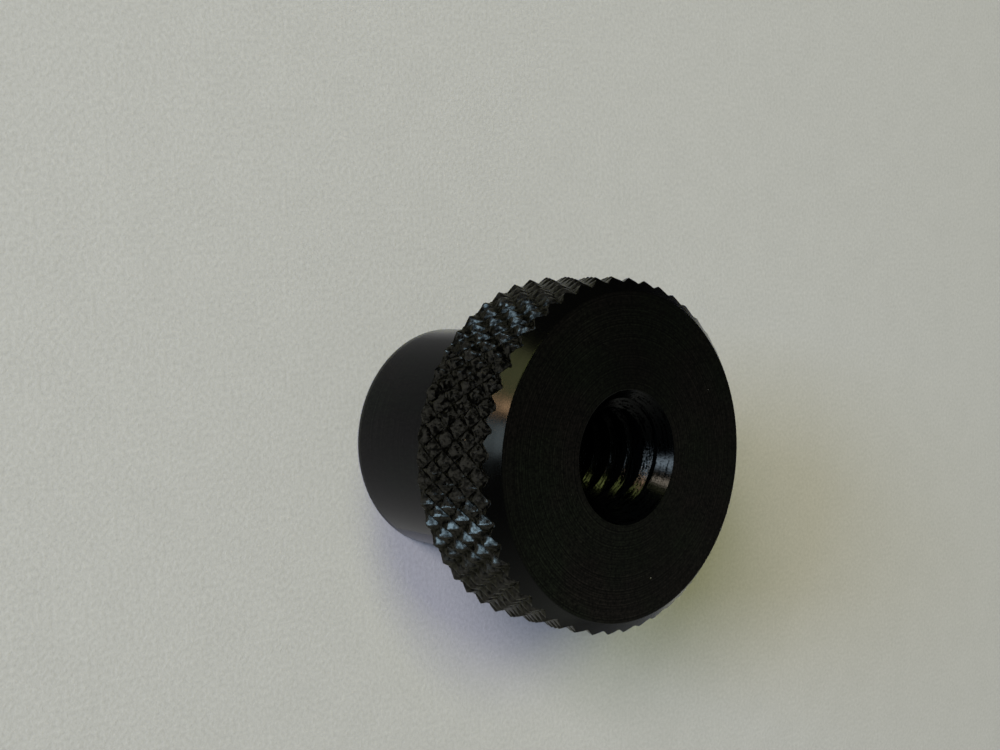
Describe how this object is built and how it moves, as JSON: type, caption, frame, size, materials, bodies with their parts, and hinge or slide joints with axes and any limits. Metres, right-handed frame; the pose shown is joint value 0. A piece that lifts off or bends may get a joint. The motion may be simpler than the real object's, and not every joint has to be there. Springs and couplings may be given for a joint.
{
  "type": "knurled knob",
  "caption": "Round black metal knob with a diamond-knurled head, a plain hub and a threaded hole along its axis, for turning a stud or screw by hand.",
  "frame": {"origin": "centre of the hub's end face, at the bottom", "axes": "+Z along the hole, from the hub's end up to the head's face"},
  "size_m": [0.019, 0.019, 0.0154],
  "materials": {
    "black_metal": "black anodised, with fine turning marks on the face and satin elsewhere"
  },
  "bodies": {
    "root": {"knob": "black_metal"}
  },
  "joints": []
}
